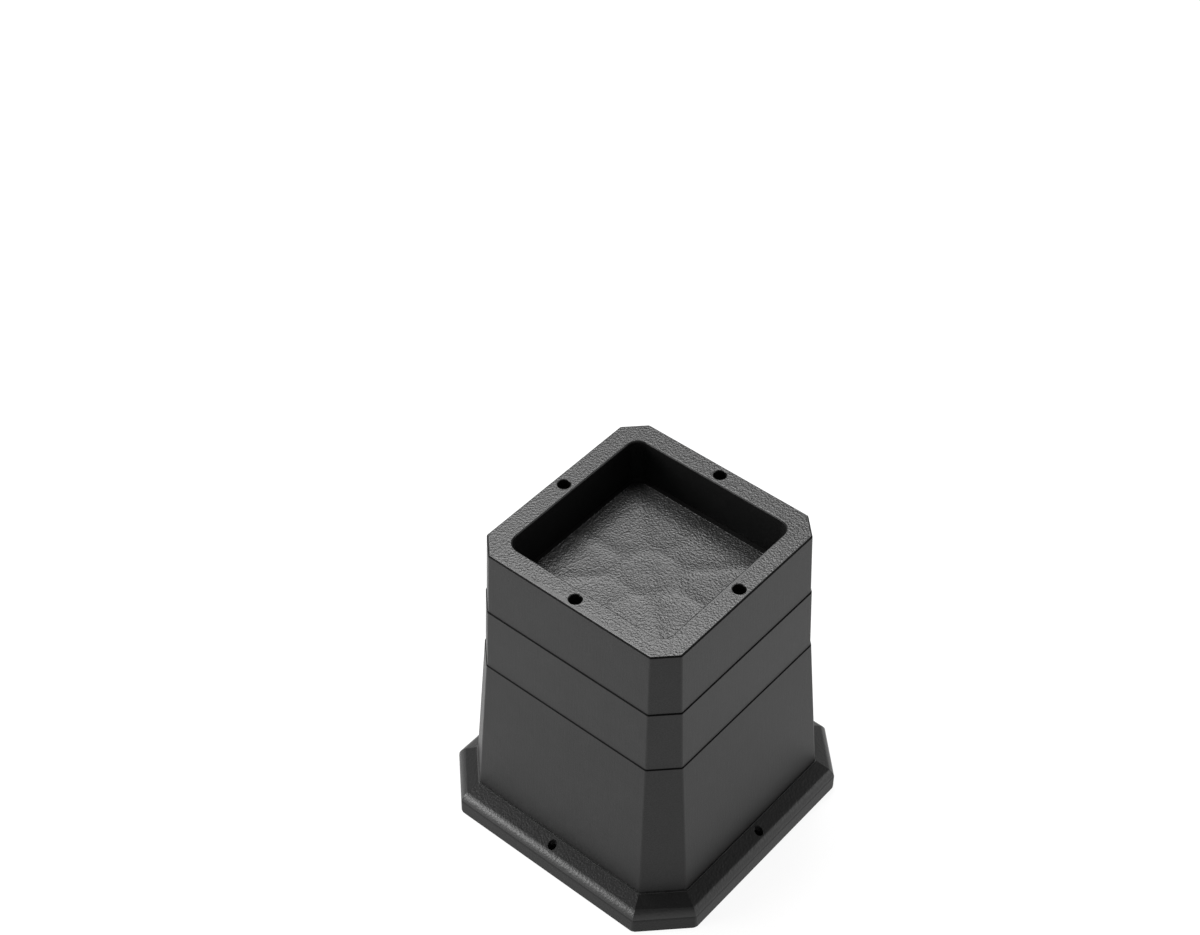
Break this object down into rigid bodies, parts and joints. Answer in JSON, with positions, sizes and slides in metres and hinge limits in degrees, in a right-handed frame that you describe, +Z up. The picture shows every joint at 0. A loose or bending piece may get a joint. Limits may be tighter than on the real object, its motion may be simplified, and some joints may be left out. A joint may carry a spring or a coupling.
{
  "type": "bed riser",
  "caption": "Square tapered bed riser with cut corners: a tall flanged base under low stacking extensions, with a square leg pocket in the top and ribs inside.",
  "frame": {"origin": "middle of the footprint, on the floor", "axes": "+Z up along the stack's axis; +X and +Y square to the flat sides"},
  "size_m": [0.1352, 0.1352, 0.1524],
  "materials": {
    "moulded_plastic": "charcoal injection-moulded polypropylene, fine spark-eroded texture outside, smoother inside the pocket"
  },
  "bodies": {
    "root": {"base_riser": "moulded_plastic", "lower_extension": "moulded_plastic", "upper_extension": "moulded_plastic"}
  },
  "joints": []
}
